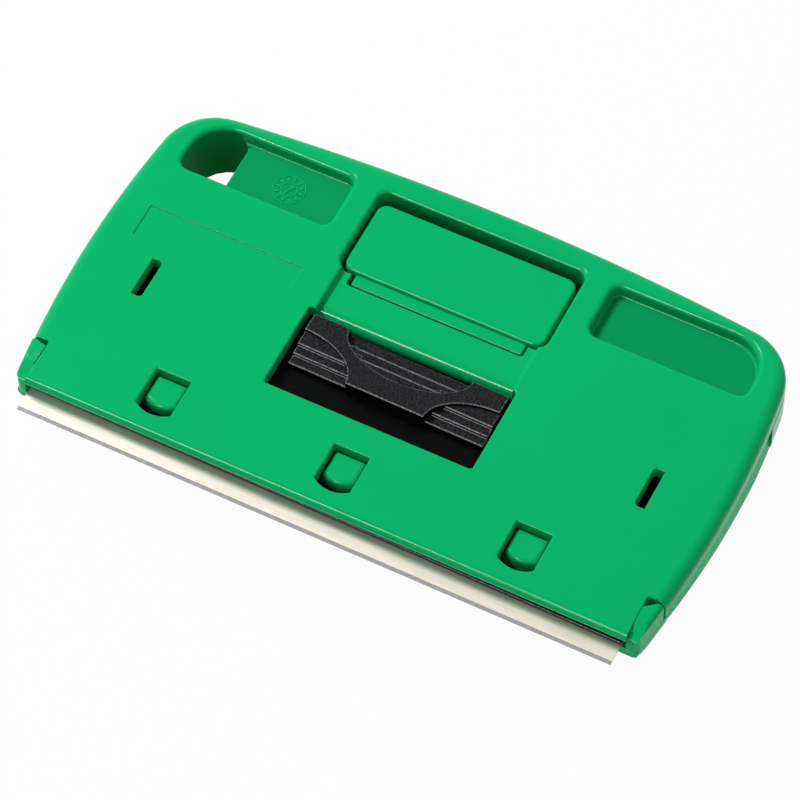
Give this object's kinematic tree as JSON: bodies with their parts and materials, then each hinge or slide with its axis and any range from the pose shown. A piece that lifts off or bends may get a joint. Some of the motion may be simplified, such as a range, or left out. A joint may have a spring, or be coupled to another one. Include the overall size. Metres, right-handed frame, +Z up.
{
  "type": "razor blade scraper",
  "caption": "Wide pocket razor scraper: green hinged plastic shell, long steel blade, black sliding blade guard with a thumb grip, and a push latch.",
  "frame": {"origin": "on the ground under the middle of the whole tool, lying flat", "axes": "+X along the cutting edge to the right, -Y where the cutting edge faces, +Z up out of the cover"},
  "size_m": [0.1094, 0.0632, 0.012],
  "materials": {
    "green_plastic": "moulded, semi-gloss",
    "black_plastic": "moulded, grained",
    "steel": "ground and polished"
  },
  "bodies": {
    "base": {"lower_shell": "green_plastic", "blade": "steel"},
    "cover": {"upper_shell": "green_plastic", "hinge_pin_left": "steel", "hinge_pin_right": "steel"},
    "guard": {"blade_guard": "black_plastic", "thumb_grip": "black_plastic"},
    "latch": {"release_button": "green_plastic"}
  },
  "joints": [
    {"name": "cover_hinge", "type": "hinge", "parent": "base", "child": "cover", "pos_m": [0, -0.0273, 0.0103], "axis": [1, 0, 0], "range_deg": [0, 90]},
    {"name": "guard_slide", "type": "slide", "parent": "base", "child": "guard", "axis": [0, -1, 0], "range_m": [0, 0.0044]},
    {"name": "latch_tilt", "type": "hinge", "parent": "base", "child": "latch", "pos_m": [0, 0.01855, 0.0035], "axis": [-1, 0, 0], "range_deg": [0, 7], "stiffness_Nm_per_rad": 0.02}
  ]
}
